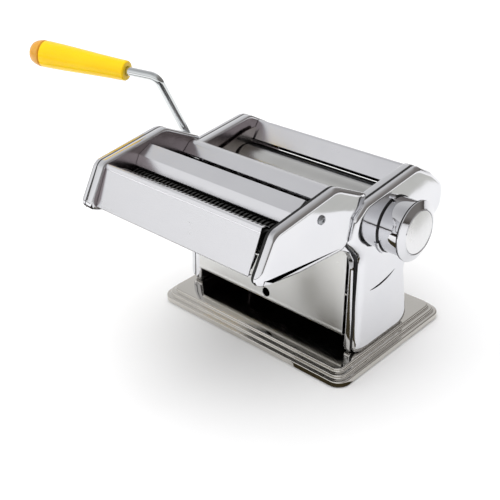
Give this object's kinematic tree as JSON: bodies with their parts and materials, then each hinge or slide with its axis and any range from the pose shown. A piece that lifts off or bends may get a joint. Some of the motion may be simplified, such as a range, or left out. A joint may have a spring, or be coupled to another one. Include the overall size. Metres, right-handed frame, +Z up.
{
  "type": "pasta machine",
  "caption": "Hand-cranked pasta machine: smooth rollers whose gap is set by a knob, and a lift-off unit that cuts thin and wide noodles.",
  "frame": {"origin": "on the table under the centre of the base", "axes": "+X along the rollers towards the gap knob, the crank at -X; -Y towards the cutter unit; +Z up"},
  "size_m": [0.3321, 0.2119, 0.2167],
  "materials": {
    "chromed_steel": "mirror-polished chrome plate on stamped sheet steel",
    "roller_steel": "ground and chromed roller surface, satin",
    "plain_steel": "bright zinc-plated or bare steel",
    "bush_plastic": "natural nylon",
    "fibreboard": "raw hardboard",
    "mat_rubber": "matt black",
    "grip_yellow": "glossy moulded plastic",
    "grip_amber": "glossy moulded plastic, amber"
  },
  "bodies": {
    "frame": {"base_plate": "chromed_steel", "base_board": "fibreboard", "anti_slip_mat": "mat_rubber", "left_frame_tray": "chromed_steel", "right_frame_tray": "chromed_steel", "left_side_cover": "chromed_steel", "right_side_cover": "chromed_steel", "front_chute_panel": "chromed_steel", "front_cover": "chromed_steel", "rear_cover": "chromed_steel", "rear_panel": "chromed_steel", "left_cutter_rail": "plain_steel", "right_cutter_rail": "plain_steel", "left_end_guard": "plain_steel", "right_end_guard": "plain_steel", "front_scraper": "plain_steel", "rear_scraper": "plain_steel", "tie_rod_front": "plain_steel", "tie_rod_rear": "plain_steel", "tie_rod_lower": "plain_steel", "left_drive_bush": "bush_plastic", "right_drive_bush": "bush_plastic", "knob_ring": "chromed_steel"},
    "drive": {"drive_roller": "roller_steel", "drive_gear": "plain_steel"},
    "crank": {"crank_rod": "chromed_steel"},
    "grip": {"crank_grip": "grip_yellow", "grip_end_cap": "grip_amber"},
    "yoke": {"left_yoke_arm": "plain_steel", "right_yoke_arm": "plain_steel", "yoke_bar": "plain_steel"},
    "rear_roller": {"adjustable_roller": "roller_steel", "driven_gear": "plain_steel"},
    "adjuster": {"adjuster_cam_shaft": "plain_steel", "knob_spring": "plain_steel"},
    "knob": {"knob": "chromed_steel", "knob_face": "chromed_steel", "stop_pin": "plain_steel"},
    "cutter": {"cutter_left_tray": "chromed_steel", "cutter_right_tray": "chromed_steel", "cutter_left_cover": "chromed_steel", "cutter_right_cover": "chromed_steel", "left_cap_screw": "plain_steel", "right_cap_screw": "plain_steel", "cutter_front_plate": "chromed_steel", "cutter_mid_roof": "chromed_steel", "cutter_rear_roof": "chromed_steel", "cutter_rear_plate": "chromed_steel", "thin_comb": "plain_steel", "wide_comb": "plain_steel"},
    "thin_front": {"thin_front_cutter_roller": "roller_steel", "thin_front_cutter_gear": "plain_steel", "thin_crank_socket": "plain_steel"},
    "thin_rear": {"thin_rear_cutter_roller": "roller_steel", "thin_rear_cutter_gear": "plain_steel"},
    "wide_front": {"wide_front_cutter_roller": "roller_steel", "wide_front_cutter_gear": "plain_steel", "wide_crank_socket": "plain_steel"},
    "wide_rear": {"wide_rear_cutter_roller": "roller_steel", "wide_rear_cutter_gear": "plain_steel"}
  },
  "joints": [
    {"name": "drive_spin", "type": "hinge", "parent": "frame", "child": "drive", "pos_m": [0, -0.0096, 0.111], "axis": [1, 0, 0], "continuous": true},
    {"name": "crank_pull", "type": "slide", "parent": "drive", "child": "crank", "axis": [-1, 0, 0], "range_m": [0, 0.02]},
    {"name": "grip_spin", "type": "hinge", "parent": "crank", "child": "grip", "pos_m": [-0.13036, -0.05493, 0.19837], "axis": [-0.9394, -0.3308, 0.0904], "continuous": true},
    {"name": "knob_turn", "type": "hinge", "parent": "frame", "child": "adjuster", "pos_m": [0, 0.0035, 0.1105], "axis": [1, 0, 0], "range_deg": [0, 280]},
    {"name": "knob_pull", "type": "slide", "parent": "adjuster", "child": "knob", "axis": [1, 0, 0], "range_m": [0, 0.003], "stiffness_N_per_m": 800, "springref_m": -0.003, "deforming": ["knob_spring"]},
    {"name": "gap_slide", "type": "slide", "parent": "frame", "child": "yoke", "axis": [0, -1, 0], "range_m": [0, 0.002]},
    {"name": "adjustable_spin", "type": "hinge", "parent": "yoke", "child": "rear_roller", "pos_m": [0, 0.0196, 0.111], "axis": [1, 0, 0], "continuous": true},
    {"name": "cutter_lift", "type": "slide", "parent": "frame", "child": "cutter", "axis": [0, 0, 1], "range_m": [0, 0.045]},
    {"name": "thin_front_spin", "type": "hinge", "parent": "cutter", "child": "thin_front", "pos_m": [0, -0.1173, 0.1415], "axis": [1, 0, 0], "continuous": true},
    {"name": "thin_rear_spin", "type": "hinge", "parent": "cutter", "child": "thin_rear", "pos_m": [0, -0.10073, 0.13447], "axis": [1, 0, 0], "continuous": true},
    {"name": "wide_front_spin", "type": "hinge", "parent": "cutter", "child": "wide_front", "pos_m": [0, -0.0788, 0.141], "axis": [1, 0, 0], "continuous": true},
    {"name": "wide_rear_spin", "type": "hinge", "parent": "cutter", "child": "wide_rear", "pos_m": [0, -0.06223, 0.13397], "axis": [1, 0, 0], "continuous": true}
  ],
  "couplings": [
    {"joint": "knob_turn", "follows": "gap_slide", "rad_per_m": 2443.5},
    {"joint": "adjustable_spin", "follows": "drive_spin", "ratio": -1},
    {"joint": "thin_rear_spin", "follows": "thin_front_spin", "ratio": -1},
    {"joint": "wide_rear_spin", "follows": "wide_front_spin", "ratio": -1}
  ]
}
